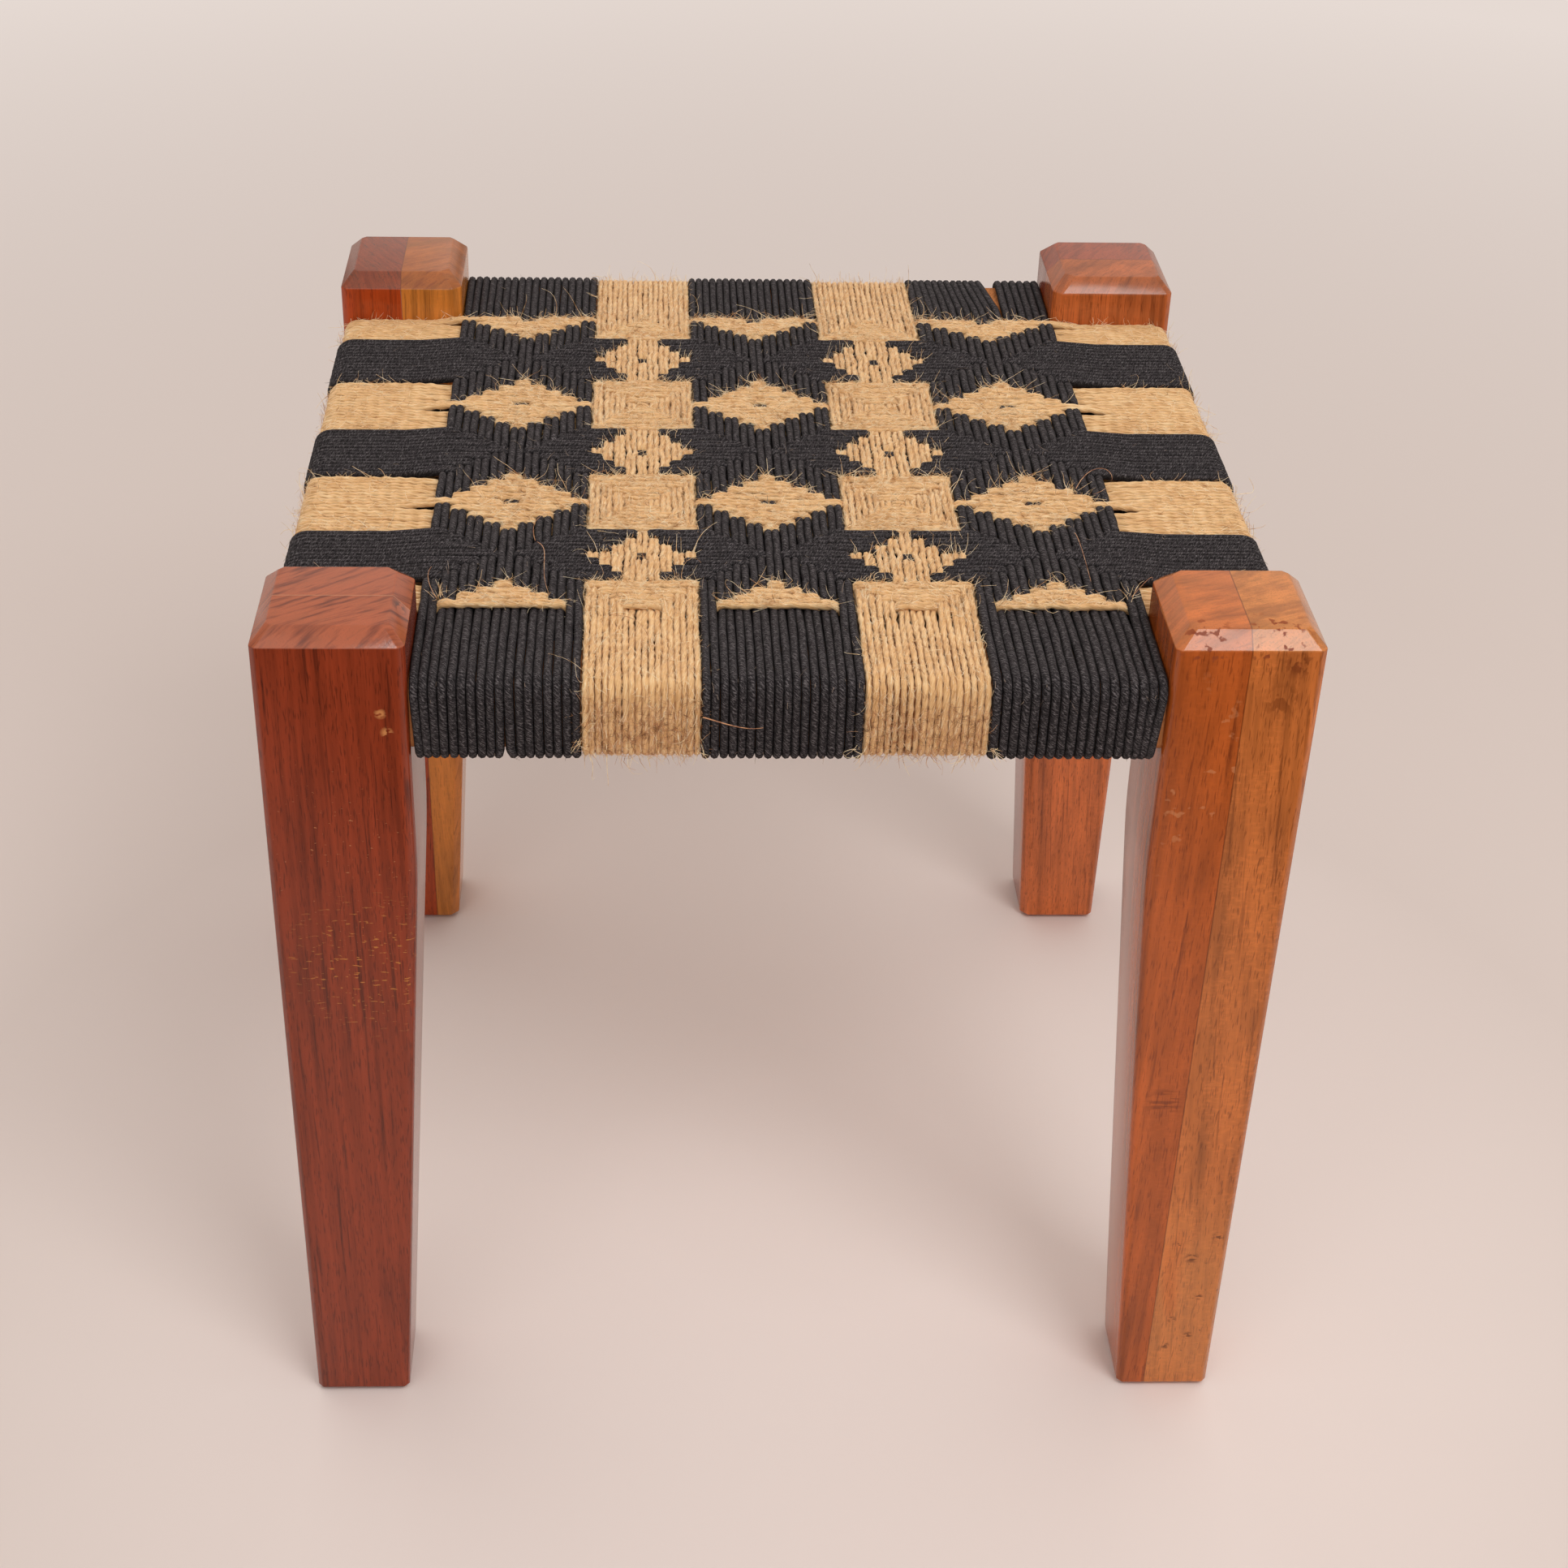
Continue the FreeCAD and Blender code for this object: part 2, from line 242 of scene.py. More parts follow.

# The room. Its floor is a little lighter under the stool, a painted pool of light, and fades out far
# from it.
# In reflections the floor well in front of the stool and the low part of the room are dim
PALE = "#e6dad3"
ROOM = "#efe6e0"
ROOM_STRENGTHS = (0.35, 1.2)
ROOM_TURN = (-0.3, 0.8)
HORIZON = (-0.05, 0.1)
DIM = "#4a3f38"
DIM_STRENGTH = 0.4
DIM_FLOOR = (-0.55, -0.95)
FLOOR_RADIUS = 9.0
FLOOR_FADE = (0.8, 2.4)
CLOTH = "#d9ccc5"
PAINTED_LIGHT_POOL_COLOUR = "#f9ece6"
PAINTED_LIGHT_POOL_CENTRE = (0.03, -0.08, 0.0)
PAINTED_LIGHT_POOL_REACH = (0.5, 0.1)
LAMP_DISTANCE = 3.2

# The camera, found from the corners of the stool in the photograph, which is a square
PHOTO_SIZE = 1932
FOCAL_PIXELS = 3172.0
AXIS_PIXELS = (898.5, 973.9)
CAMERA_PLACE = (-61.46 * mm, -1164.9 * mm, 980.57 * mm)
CAMERA_TURN = (0.991256, -0.018856, -0.026426)
SENSOR_WIDTH = 36.0


def linear(hex_colour, strength=1.0):
    """An sRGB hex colour as the linear colour that the shaders take, made so many times as strong."""
    coded = [int(hex_colour[place:place + 2], 16) / 255 for place in (1, 3, 5)]
    lit = [c / 12.92 if c <= 0.04045 else ((c + 0.055) / 1.055) ** 2.4 for c in coded]
    return [min(1.0, strength * channel) for channel in lit] + [1.0]


def add_node(tree, kind, inputs=None, stops=(), **settings):
    """Adds a node with its settings. An input is a value, or a socket or node that it follows.

    A node stands for its first output. A colour ramp's stops are (place, hex colour), or (place,
    hex colour, strength).
    """
    node = tree.nodes.new(kind)
    for name, value in settings.items():
        setattr(node, name, value)
    for name, value in (inputs or {}).items():
        if isinstance(value, bpy.types.Node):
            value = value.outputs[0]
        if isinstance(value, bpy.types.NodeSocket):
            tree.links.new(value, node.inputs[name])
        else:
            node.inputs[name].default_value = value
    for number, (place, *colour) in enumerate(stops):
        elements = node.color_ramp.elements
        element = elements[number] if number < len(elements) else elements.new(place)
        element.position = place
        element.color = linear(*colour)
    return node


def laid_over(tree, colour, over, *masks):
    """One colour laid over another as far as all the masks let it, which are multiplied."""
    factor = masks[0]
    for mask in masks[1:]:
        factor = add_node(tree, "ShaderNodeMath", {0: factor, 1: mask}, operation="MULTIPLY")
    mix = add_node(tree, "ShaderNodeMix", {0: factor, 6: colour, 7: over}, data_type="RGBA")
    return mix.outputs[2]


def new_material(name, finish):
    """A material as (material, node tree, shader). finish holds values for the shader's sockets."""
    material = bpy.data.materials.new(name)
    material.use_nodes = True
    tree = material.node_tree
    shader = tree.nodes["Principled BSDF"]
    for socket, value in finish.items():
        shader.inputs[socket].default_value = value
    return material, tree, shader


def show(piece):
    """Puts a new object in the scene and hands it back."""
    bpy.context.scene.collection.objects.link(piece)
    return piece


def curve_to_mesh(curve):
    """The mesh of a curve, with smooth faces. The curve itself doesn't stay in the scene."""
    holder = show(bpy.data.objects.new(curve.name, curve))
    mesh = bpy.data.meshes.new_from_object(holder)
    bpy.data.objects.remove(holder)
    mesh.polygons.foreach_set("use_smooth", [True] * len(mesh.polygons))
    return mesh


def smooth(share):
    """An S curve from 0 to 1."""
    share = min(1.0, max(0.0, share))
    return share * share * (3 - 2 * share)


def unit(rows):
    """Each row of a table as a direction of length 1."""
    return rows / np.linalg.norm(rows, axis=1)[:, None]


# The weave: which cord is on top where two cross

class Cord:
    """One pass of cord across the seat: its place, its band and its rank in the figure.

    half counts its pair from the middle of the band, and partner_side is the side of the pair's
    other cord.
    """

    def __init__(self, place, band, rank, half, partner_side):
        self.place = place
        self.band = band
        self.jute = band.jute
        self.radius = band.radius
        self.rank = rank
        self.half = half
        self.partner_side = partner_side


class Band:
    """One long cord wound round its two rails: its cords lie side by side, in pairs.

    across and along number the axes of its width and of its run.
    """

    def __init__(self, name, lengthwise):
        self.name = name
        self.lengthwise = lengthwise
        self.across, self.along = (0, 1) if lengthwise else (1, 0)
        self.jute = "jute" in name
        self.radius = JUTE_RADIUS if self.jute else COTTON_RADIUS
        low, high = (corner[self.across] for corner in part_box(name))
        ranks = pair_ranks(name)
        self.middle = (low + high) / 2
        self.pitch = (high - low) / (2 * len(ranks))
        self.cords = []
        for number in range(2 * len(ranks)):
            place = low + self.pitch * (number + 0.5)
            pair = number // 2
            half = pair - ranks.index(0) if 0 in ranks else 0
            self.cords.append(Cord(place, self, ranks[pair], half, 1 - 2 * (number % 2)))


def pair_ranks(name):
    """The rank of each pair of a band: 0 along the middle of the figure, rising to its borders."""
    if "front_edge" in name:
        return [1, 2, 3, 4]
    if "rear_edge" in name:
        return [4, 3, 2, 1, 0]
    if "crosswise_cotton" in name:
        return [3, 2, 1, 0, 1, 2, 3]
    return [4, 3, 2, 1, 0, 1, 2, 3, 4]


LENGTHWISE_BANDS = [Band("seat_lengthwise_" + name, True) for name in (
    "cotton_left", "jute_left", "cotton_middle", "jute_right", "cotton_right")]
CROSSWISE_BANDS = [Band("seat_crosswise_" + name, False) for name in (
    "jute_front_edge", "cotton_front", "jute_front", "cotton_middle", "jute_rear", "cotton_rear",
    "jute_rear_edge")]


def lengthwise_on_top(along, across):
    """The rule of the figure for one lengthwise and one crosswise cord.

    In the first cotton band from the front, the rear half of each small diamond is a pair short.
    """
    middle = along.rank == 0 and across.rank == 0
    if along.jute and across.jute:
        return along.rank > across.rank
    if across.jute:
        return along.rank + across.rank > 4 or middle
    if along.jute:
        slip = 1 if across.band.name == "seat_crosswise_cotton_front" and across.half > 0 else 0
        return along.rank + across.rank <= 4 - slip and not middle
    return along.rank <= across.rank


def crossed_bands(cord):
    """The bands that a cord crosses, from the front or from the left."""
    return CROSSWISE_BANDS if cord.band.lengthwise else LENGTHWISE_BANDS


def on_top(cord, crossing):
    """Whether a cord is on top where it crosses another."""
    if cord.band.lengthwise:
        return lengthwise_on_top(cord, crossing)
    return not lengthwise_on_top(crossing, cord)


# One turn of cord

def quarter_turn(along, up, radius, start_angle):
    """Points of a quarter turn round a rail's arris, by falling angle."""
    angles = [start_angle - math.pi / 2 * step / ARC_STEPS for step in range(ARC_STEPS + 1)]
    return [(along + radius * math.cos(angle), up + radius * math.sin(angle)) for angle in angles]


def even_steps(start, stop, step):
    """Places strictly between start and stop, about a step apart."""
    count = max(1, round(abs(stop - start) / step))
    return [start + (stop - start) * number / count for number in range(1, count)]


def woven_part(cord):
    """The cord's levels across the woven part, as (along, up), from the rear or right to the other."""
    rest = RAIL_TOP + cord.radius
    knots = [(RAIL_INNER_FACE, rest)]
    crossings = [crossing for band in crossed_bands(cord) for crossing in band.cords]
    for crossing in reversed(crossings):
        lift = CROSSING_SQUEEZE * (cord.radius + crossing.radius) / 2
        hole = cord.rank == crossing.rank == 0 and cord.jute != crossing.jute
        level = WEB_LEVEL + (lift if on_top(cord, crossing) else -lift)
        knots.append((crossing.place, level - (HOLE_DIP if hole else 0.0)))
    knots.append((-RAIL_INNER_FACE, rest))
    points = [knots[0]]
    for (start, low), (stop, high) in zip(knots, knots[1:]):
        for share in RISE_SHARES if abs(high - low) > COTTON_RADIUS else ():
            points.append((start + (stop - start) * share, low + (high - low) * smooth(share)))
        points.append((stop, high))
    return points


def turn_route(cord):
    """One turn of cord in its own plane: up the far rail, over the seat, down and back below.

    Each point is (along, up, share), where share is how far the cord has moved towards its next
    turn, which it does on the way back under the seat.
    """
    radius = cord.radius
    under_level = UNDER_LEVEL + (UNDER_LIFT if cord.band.lengthwise else -UNDER_LIFT)
    inner = RAIL_INNER_FACE
    upper = RAIL_OUTER_FACE - UPPER_ARRIS
    lower = RAIL_OUTER_FACE - LOWER_ARRIS
    upward = quarter_turn(lower, RAIL_BOTTOM + LOWER_ARRIS, LOWER_ARRIS + radius, 0)[::-1]
    upward += quarter_turn(upper, RAIL_TOP - UPPER_ARRIS, UPPER_ARRIS + radius, math.pi / 2)[::-1]
    seen = list(upward)
    seen += [(along, RAIL_TOP + radius) for along in even_steps(upper, inner, STRETCH_STEP)]
    seen += woven_part(cord)
    seen += [(-along, RAIL_TOP + radius) for along in even_steps(inner, upper, STRETCH_STEP)]
    seen += [(-along, up) for along, up in upward[::-1]]
    below = [(-inner, RAIL_BOTTOM - radius)]
    below += [(along, under_level) for along in even_steps(-inner, inner, UNDER_STEP)]
    below += [(inner, RAIL_BOTTOM - radius)]
    route = [(along, up, 0.0) for along, up in seen]
    return route + [(along, up, smooth((along + inner) / (2 * inner))) for along, up in below]


# Where the weaver's hand shows

def end_cord_pull(cord, up):
    """The end cords of the front wrap draw in from the legs as they hang."""
    reach = LEG_INNER_FACE - abs(cord.place)
    if reach >= END_CORDS_WIDTH:
        return 0.0
    pull = END_PULL_RIGHT if cord.place > 0 else END_PULL_LEFT
    hang = smooth((HANG_LEVEL - up) / (RAIL_TOP - RAIL_BOTTOM))
    return -math.copysign(pull, cord.place) * hang * (1 - reach / END_CORDS_WIDTH)


def notch_push(cord, up):
    """The cords part a little at the notch low in the front wrap."""
    away = cord.place - NOTCH_PLACE
    near = smooth((NOTCH_LEVEL - up) / NOTCH_REACH)
    return math.copysign(NOTCH_HALF_WIDTH, away) * near * math.exp(-abs(away) / NOTCH_REACH)


def gap_lean(cord, along, up):
    """The cords left of the slanted gap in the rear wrap lean away from it."""
    lean = min(1.0, max(0.0, (along - GAP_START) / GAP_RUN))
    level = smooth((up - RAIL_BOTTOM) / GAP_FOOT)
    share = (cord.place - GAP_BAND[0]) / (GAP_BAND[1] - GAP_BAND[0])
    return -GAP_LEAN * lean * level * share


def neck_pull(cord, along):
    """The jute cords beside a band's middle draw in towards it at each hole of the figure."""
    away = cord.place - cord.band.middle
    if not NECK_CORDS[0] < abs(away) < NECK_CORDS[1]:
        return 0.0
    pull, reach = NECK_PULL_LENGTHWISE if cord.band.lengthwise else NECK_PULL_CROSSWISE
    holes = [band.middle for band in crossed_bands(cord) if not band.jute]
    near = sum(math.exp(-((along - hole) / reach) ** 2) for hole in holes)
    return -math.copysign(pull, away) * near * math.exp(-(abs(away) - NECK_EDGE) / NECK_FADE)


def sideways_shift(cord, along, up):
    """How far a cord strays sideways from its even place, as it does on the real seat."""
    shift = 0.0
    if cord.band.lengthwise and along < -RAIL_INNER_FACE:
        shift += end_cord_pull(cord, up) + notch_push(cord, up)
    if cord.band.lengthwise and along > 0 and GAP_BAND[0] < cord.place < GAP_BAND[1]:
        shift += gap_lean(cord, along, up)
    if cord.jute:
        shift += neck_pull(cord, along)
    return shift


def slow_noise(source, jute, jute_size, cotton_size, lengths):
    """A smooth random function of the distance along a cord."""
    size = (jute_size if jute else cotton_size) / len(lengths)
    waves = [(2 * math.pi / length, source.uniform(0, 2 * math.pi)) for length in lengths]

    def noise(distance):
        return size * sum(math.sin(rate * distance + phase) for rate, phase in waves)
    return noise


# Whole bands

def even_route(route, step):
    """The same route as rows of numbers, with its points an even step apart."""
    route = np.array(route)
    gone = np.concatenate([[0], np.cumsum(np.linalg.norm(np.diff(route[:, :2], axis=0), axis=1))])
    count = max(2, int(round(gone[-1] / step)) + 1)
    marks = np.linspace(0, gone[-1], count)
    return np.stack([np.interp(marks, gone, column) for column in route.T], axis=1)


def band_route(band, source):
    """Every point along a band's one long cord, as rows of place, along, up, thickness and twist."""
    pair_pull = max(LEAST_PAIR_PULL, band.pitch / 2 - band.radius)
    points = []
    for cord in band.cords:
        wander, stray, swell, heave = [slow_noise(source, band.jute, *kind)
                                       for kind in (WANDER, STRAY, SWELL, HEAVE)]
        route = turn_route(cord)
        seen = [knot for knot in route if knot[2] == 0]
        below = [seen[-1]] + [knot for knot in route if knot[2] > 0]
        if band.jute:
            seen = even_route(seen, JUTE_LAY / STEPS_IN_LAY)
            below = even_route(below, 2 * JUTE_LAY / STEPS_IN_LAY)
        passed = list(seen) if cord is band.cords[-1] else list(seen) + list(below[1:])
        for along, up, share in passed:
            on_web = smooth((RAIL_INNER_FACE - abs(along)) / WEB_FADE)
            place = cord.place + band.pitch * share + wander(along)
            place += (stray(along) + pair_pull * cord.partner_side) * on_web
            if share == 0:
                place += sideways_shift(cord, along, up)
                up += heave(along) * on_web
            twist = (len(points) + 1) * 2 * math.pi / STEPS_IN_LAY
            points.append((place, along, up, 1 + swell(along), twist))
    return np.array(points)


def band_mesh(band, rows):
    """All turns of a band as one mesh tube, with its length and girth as the UV map.

    The cotton is pressed a little oval where it lies closer than its width. The mesh keeps how far
    round each point is towards the neighbouring cords, as "groove", for the painted shade between them.
    """
    rows[0, 3] = rows[-1, 3] = CUT_END
    centres = rows[:, (0, 1, 2) if band.lengthwise else (1, 0, 2)]
    curve = bpy.data.curves.new(band.name + "_route", "CURVE")
    curve.dimensions = "3D"
    curve.twist_mode = "MINIMUM"
    curve.bevel_depth = band.radius
    curve.bevel_resolution = CORD_SIDES // 2 - 2
    spline = curve.splines.new("POLY")
    spline.points.add(len(rows) - 1)
    spline.points.foreach_set("co", np.column_stack([centres, np.ones(len(rows))]).ravel())
    spline.points.foreach_set("radius", rows[:, 3])
    if band.jute:
        spline.points.foreach_set("tilt", rows[:, 4])
    mesh = curve_to_mesh(curve)
    places = np.empty(len(mesh.vertices) * 3)
    mesh.vertices.foreach_get("co", places)
    middles = centres[:, None, :]
    offsets = places.reshape(-1, CORD_SIDES, 3) - middles
    if band.jute:
        angles = np.arange(CORD_SIDES) * 2 * math.pi / CORD_SIDES
        offsets *= (JUTE_PLUMPNESS + PLY_SWELL * np.cos(2 * angles))[None, :, None]
    else:
        offsets[:, :, band.across] *= min(1.0, COTTON_PRESS * band.pitch / (2 * band.radius))
    mesh.vertices.foreach_set("co", (middles + offsets).ravel())
    sideways = np.abs(offsets[:, :, band.across])
    groove = (sideways / sideways.max(axis=1)[:, None]) ** 3
    mesh.attributes.new("groove", "FLOAT", "POINT").data.foreach_set("value", groove.ravel())
    distances = np.concatenate([[0], np.cumsum(np.linalg.norm(np.diff(centres, axis=0), axis=1))])
    layer = mesh.uv_layers[0]
    uv = np.empty(len(layer.uv) * 2)
    layer.uv.foreach_get("vector", uv)
    uv = uv.reshape(-1, 2)
    uv[:, 0] = np.interp(uv[:, 0] * (len(rows) - 1), np.arange(len(rows)), distances)
    layer.uv.foreach_set("vector", uv.ravel())
    mesh.update()
    return mesh, centres


# Loose fibres

def grown_paths(start, heading, axis, length, turning, steps, source):
    """The points of fibres that set off along a heading and turn about an axis as they go."""
    count = len(start)
    axis = unit(axis)
    rows = [start]
    for _ in range(steps):
        angle = (turning * length / steps + source.normal(0, KINK, count))[:, None]
        heading = heading * np.cos(angle) + np.cross(axis, heading) * np.sin(angle)
        heading = unit(heading + source.normal(0, WAVER, (count, 3)))
        rows.append(rows[-1] + heading * (length / steps)[:, None])
    return np.stack(rows, axis=1)


def loose_fibres(band, centres, source, per_turn, lengths, bend, width, steps, lie=(0.15, 0.85)):
    """Fibres standing out of a band's cord, as (points of each, widths).

    Each starts at the cord's skin, sets off partly along it and bends the same way as it goes. lie
    is the least and most slope at which they rise, in radians.
    """
    count = len(band.cords) * per_turn
    across = centres[:, band.across]
    distance = np.abs(centres[:, band.along])
    border = np.abs(across - across.mean()) / (np.ptp(across) / 2)
    in_sight = centres[:, 2] > np.where(distance < RAIL_INNER_FACE, WEB_LEVEL, RAIL_BOTTOM - 2 * mm)
    figure_end, calm = [pair[0 if band.lengthwise else 1] for pair in (FIGURE_ENDS, CALM_SHARES)]
    in_figure = np.clip((figure_end - distance) / FIGURE_FADE, calm, 1.0)
    weights = (MIDDLE_SHARE + (1 - MIDDLE_SHARE) * border ** 2) * in_sight * in_figure
    weights[[0, -1]] = 0
    chosen = source.choice(len(centres), count, p=weights / weights.sum())
    start = centres[chosen]
    run = unit(centres[chosen + 1] - centres[chosen - 1])
    outward = start.copy()
    outward[:, band.along] -= np.clip(start[:, band.along], -RAIL_MIDDLE, RAIL_MIDDLE)
    outward[:, 2] -= (RAIL_TOP + RAIL_BOTTOM) / 2
    outward[:, band.across] = 0
    outward[distance[chosen] < RAIL_INNER_FACE] = (0, 0, 1)
    outward = unit(outward)
    side = unit(np.cross(run, outward))
    lean = source.normal(0, SIDEWAYS_LEAN, count)[:, None]
    away = outward * np.cos(lean) + side * np.sin(lean)
    slope = source.uniform(*lie, count)[:, None]
    heading = run * source.choice([-1, 1], count)[:, None] * np.cos(slope) + away * np.sin(slope)
    usual, longest = lengths
    length = source.lognormal(math.log(usual), LENGTH_SPREAD, count)
    length = np.clip(length, SHORTEST_SHARE * usual, longest)
    axis = source.normal(size=(count, 3)) + side * SIDEWAYS_TURN
    turning = source.normal(0, 1, count) * bend
    start = start + away * band.radius * ROOT_SHARE
    paths = grown_paths(start, heading, axis, length, turning, steps, source)
    return paths, width * source.uniform(*WIDTH_SHARES, count)


def matted_fibres(band, centres, source):
    """Fibres rubbed flat across the cords, low on the upright faces of a band's wraps, whose brown is
    also painted shade.
    """
    count = len(band.cords) * MAT_PER_TURN
    upright = np.abs(centres[:, band.along]) > RAIL_OUTER_FACE
    depth = np.clip((MAT_LEVEL - centres[:, 2]) / MAT_FADE, 0.0, 1.0)
    weights = depth * upright * (centres[:, 2] > RAIL_BOTTOM)
    start = centres[source.choice(len(centres), count, p=weights / weights.sum())]
    start[:, 2] += source.uniform(-MAT_SCATTER, MAT_SCATTER, count)
    outward = np.zeros((count, 3))
    outward[:, band.along] = np.sign(start[:, band.along])
    heading = source.normal(0, 1, (count, 3))
    heading[:, band.along] = 0
    heading = unit(heading) + MAT_RISE * outward
    length = source.uniform(*MAT_LENGTHS, count)
    turning = source.normal(0, MAT_BEND, count)
    start += outward * band.radius * MAT_LIFT_SHARE
    paths = grown_paths(start, heading, outward, length, turning, MAT_STEPS, source)
    return paths, MAT_WIDTH * source.uniform(*WIDTH_SHARES, count)


def tuft(spot, outward, count, source):
    """A tuft of short fibres that has come out of the weave at one place."""
    start = np.array(spot) * mm + source.normal(0, 1, (count, 3)) * TUFT_SPREAD
    heading = unit(source.normal(0, TUFT_FAN, (count, 3)) + outward)
    length = source.uniform(*TUFT_LENGTHS, count)
    turning = source.normal(0, TUFT_BEND, count)
    axis = source.normal(0, 1, (count, 3))
    paths = grown_paths(start, heading, axis, length, turning, TUFT_STEPS, source)
    return paths, LONG_FIBRE_RADIUS * source.uniform(*TUFT_WIDTH_SHARES, count)


def long_fibre(points, radius):
    """One long fibre on a smooth path through four points or fewer, given in mm."""
    places = np.array(points) * mm
    numbers = np.arange(len(places))
    marks = np.linspace(0, len(places) - 1, LONG_FIBRE_STEPS)
    fits = [np.polyfit(numbers, column, len(places) - 1) for column in places.T]
    path = np.stack([np.polyval(fit, marks) for fit in fits], axis=1)
    return path[None], np.array([radius])


def fibre_piece(name, bundles, material):
    """One piece of thin four-sided fibres, thinning to the tip. bundles holds (paths, widths)."""
    curve = bpy.data.curves.new(name, "CURVE")
    curve.dimensions = "3D"
    curve.bevel_depth = mm
    curve.bevel_resolution = 0
    for paths, widths in bundles:
        count, length, _ = paths.shape
        points = np.concatenate([paths, np.ones((count, length, 1))], axis=2).reshape(count, -1)
        radii = widths[:, None] / mm * np.linspace(1.0, HAIR_TIP, length)[None, :]
        for path, radius in zip(points, radii):
            spline = curve.splines.new("POLY")
            spline.points.add(length - 1)
            spline.points.foreach_set("co", path)
            spline.points.foreach_set("radius", radius)
    mesh = curve_to_mesh(curve)
    mesh.materials.append(material)
    piece = show(bpy.data.objects.new(name, mesh))
    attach(piece, "root")


# Cords and fibres: what they are made of

def cord_skin(tree, lay, streak_length, streaks_around):
    """Where a point is on a twisted cord, for streaks that run along it and turn with its lay.

    The skin in the UV map is rolled back into a cylinder, so the streaks meet all the way round.
    """
    skin = add_node(tree, "ShaderNodeSeparateXYZ", {"Vector": add_node(tree, "ShaderNodeUVMap")})
    length, girth = skin.outputs["X"], skin.outputs["Y"]
    turns = add_node(tree, "ShaderNodeMath", {0: length, 1: 1 / lay, 2: girth},
                     operation="MULTIPLY_ADD")
    angle = add_node(tree, "ShaderNodeMath", {0: turns, 1: 2 * math.pi}, operation="MULTIPLY")
    parts = {"X": add_node(tree, "ShaderNodeMath", {0: length, 1: streak_length}, operation="DIVIDE")}
    for side, operation in (("Y", "COSINE"), ("Z", "SINE")):
        wave = add_node(tree, "ShaderNodeMath", {0: angle}, operation=operation)
        parts[side] = add_node(tree, "ShaderNodeMath", {0: wave, 1: streaks_around / (2 * math.pi)},
                               operation="MULTIPLY")
    return add_node(tree, "ShaderNodeCombineXYZ", parts)


def painted_groove_shade(tree, colour, dark, strength):
    """The colour with painted shade down the sides of the cord, where it lies against its neighbours.
    """
    groove = add_node(tree, "ShaderNodeAttribute", attribute_name="groove").outputs["Fac"]
    return laid_over(tree, colour, linear(dark), groove, strength)


def jute_material():
    """Natural jute twine, loosely twisted: dry, pale and straw coloured, with darker fibres.

    Its strands are about three fibres wide.
    """
    material, tree, shader = new_material("jute_twine", {
        "Roughness": 0.55, "Specular IOR Level": 0.4, "Sheen Weight": 0.15, "Sheen Roughness": 0.5})
    place = add_node(tree, "ShaderNodeTexCoord").outputs["Object"]
    skin = cord_skin(tree, lay=17 * mm, streak_length=7 * mm, streaks_around=14)
    fibres = add_node(tree, "ShaderNodeTexNoise", {
        "Vector": skin, "Scale": 1.0, "Detail": 5.0, "Roughness": 0.7})
    strands = add_node(tree, "ShaderNodeTexNoise", {"Vector": skin, "Scale": 0.32, "Detail": 2.0})
    patches = add_node(tree, "ShaderNodeTexNoise", {
        "Vector": place, "Scale": TWINE_PATCH_SCALE, "Detail": 3.0})
    mixed = 0.0
    for noise, share in ((fibres, 0.62), (strands, 0.23), (patches, 0.15)):
        mixed = add_node(tree, "ShaderNodeMath", {0: noise, 1: share, 2: mixed},
                         operation="MULTIPLY_ADD")
    colour = add_node(tree, "ShaderNodeValToRGB", {"Fac": mixed}, JUTE_TWINE)
    # painted shade: the sides of the jute cords darkened brown where they lie against each other
    tree.links.new(painted_groove_shade(tree, colour, "#6b441f", 0.3), shader.inputs["Base Color"])
    bump = add_node(tree, "ShaderNodeBump", {"Height": mixed, "Strength": 1.0, "Distance": 1 * mm})
    tree.links.new(bump.outputs["Normal"], shader.inputs["Normal"])
    return material


def cotton_material():
    """Black cotton cord: matte and soft, with a faint greyish bloom of loose lint.

    Its nap is drawn as streaks 1 mm wide, a few times as coarse as it is, so that it shows.
    """
    material, tree, shader = new_material("cotton_cord", {
        "Roughness": 0.85, "Specular IOR Level": 0.15})
    skin = cord_skin(tree, lay=9 * mm, streak_length=1.1 * mm, streaks_around=14)
    nap = add_node(tree, "ShaderNodeTexNoise", {
        "Vector": skin, "Scale": 1.0, "Detail": 4.0, "Roughness": 0.75})
    colour = add_node(tree, "ShaderNodeValToRGB", {"Fac": nap}, COTTON_CORD)
    # painted shade: the sides of the cotton cords darkened almost black where they lie against each
    # other
    tree.links.new(painted_groove_shade(tree, colour, "#060505", 0.8), shader.inputs["Base Color"])
    bump = add_node(tree, "ShaderNodeBump", {"Height": nap, "Strength": 0.6, "Distance": 0.5 * mm})
    tree.links.new(bump.outputs["Normal"], shader.inputs["Normal"])
    return material


def fibre_material(name, ramp, patch_scale, detail, finish):
    """Single fibres worked loose, dry and half glossy, paler and browner from place to place."""
    material, tree, shader = new_material(name, finish)
    place = add_node(tree, "ShaderNodeTexCoord").outputs["Object"]
    noise = add_node(tree, "ShaderNodeTexNoise", {
        "Vector": place, "Scale": patch_scale, "Detail": detail})
    colour = add_node(tree, "ShaderNodeValToRGB", {"Fac": noise}, ramp)
    tree.links.new(colour.outputs["Color"], shader.inputs["Base Color"])
    return material


# The boards' wood

def grain_noise(tree, turned, sizes, detail=2.0, roughness=0.5):
    """Noise drawn out along the grain, by its sizes across the rings, along them and lengthways."""
    drawn = add_node(tree, "ShaderNodeMapping", {
        "Vector": turned, "Scale": [1 / size for size in sizes]})
    return add_node(tree, "ShaderNodeTexNoise", {
        "Vector": drawn, "Scale": 1.0, "Detail": detail, "Roughness": roughness})


